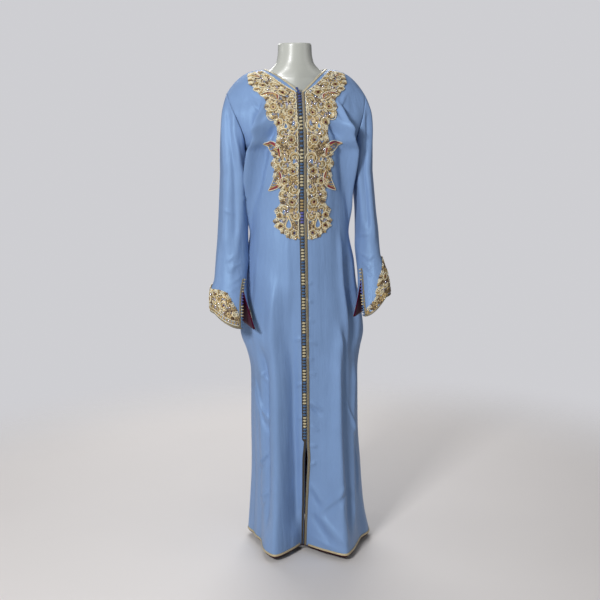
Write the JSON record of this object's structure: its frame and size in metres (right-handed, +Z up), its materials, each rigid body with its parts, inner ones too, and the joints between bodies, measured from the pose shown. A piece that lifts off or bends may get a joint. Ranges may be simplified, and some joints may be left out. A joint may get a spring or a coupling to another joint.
{
  "type": "moroccan kaftan on a dress form",
  "caption": "Long light blue satin kaftan with a knot-buttoned front, gold cord embroidery and slit embroidered cuffs, worn by a headless, armless dress form on a round foot.",
  "frame": {"origin": "centre of the underside of the dress form's round foot, on the floor", "axes": "+Z up along the form's pole; the front of the kaftan faces -Y, so the wearer's right is -X"},
  "size_m": [0.5635, 0.3827, 1.585],
  "materials": {
    "satin_light_blue": "light blue satin crepe with a soft sheen",
    "lining_maroon": "dark maroon lining",
    "braid_gold": "narrow hand-woven silk braid, dull gold",
    "piping_gold": "cream and gold piping along the hem",
    "knots_cream": "knotted silk thread, cream",
    "knots_blue": "knotted silk thread, blue",
    "embroidery_gold": "raised gold cord work with beads and stones",
    "form_white": "glossy white lacquer",
    "stand_steel": "brushed steel"
  },
  "bodies": {
    "root": {"back": "satin_light_blue", "braid_cuff_left": "braid_gold", "braid_cuff_right": "braid_gold", "braid_front_left": "braid_gold", "braid_front_right": "braid_gold", "braid_neck_back": "braid_gold", "buttons_cuff_left": "knots_cream", "buttons_cuff_right": "knots_cream", "buttons_front_01": "knots_blue", "buttons_front_02": "knots_cream", "buttons_front_03": "knots_blue", "buttons_front_04": "knots_cream", "buttons_front_05": "knots_blue", "buttons_front_06": "knots_cream", "buttons_front_07": "knots_blue", "buttons_front_08": "knots_cream", "buttons_front_09": "knots_blue", "buttons_front_10": "knots_cream", "buttons_front_11": "knots_blue", "buttons_front_12": "knots_cream", "buttons_front_13": "knots_blue", "buttons_front_14": "knots_cream", "buttons_front_15": "knots_blue", "buttons_front_16": "knots_cream", "buttons_front_17": "knots_blue", "buttons_front_18": "knots_cream", "buttons_front_19": "knots_blue", "buttons_front_20": "knots_cream", "buttons_front_21": "knots_blue", "buttons_front_22": "knots_cream", "buttons_front_23": "knots_blue", "buttons_front_24": "knots_cream", "buttons_front_25": "knots_blue", "buttons_front_26": "knots_cream", "buttons_front_27": "knots_blue", "buttons_front_28": "knots_cream", "embroidery_cuff_left": "embroidery_gold", "embroidery_cuff_right": "embroidery_gold", "embroidery_yoke_left": "embroidery_gold", "embroidery_yoke_right": "embroidery_gold", "form_foot": "stand_steel", "form_pole": "stand_steel", "form_torso": "form_white", "front_left": "satin_light_blue", "front_right": "satin_light_blue", "lining_skirt_back": "lining_maroon", "lining_skirt_front_left": "lining_maroon", "lining_skirt_front_right": "lining_maroon", "lining_sleeve_left": "lining_maroon", "lining_sleeve_right": "lining_maroon", "piping_hem_back": "piping_gold", "piping_hem_left": "piping_gold", "piping_hem_right": "piping_gold", "sleeve_left": "satin_light_blue", "sleeve_right": "satin_light_blue"}
  },
  "joints": []
}
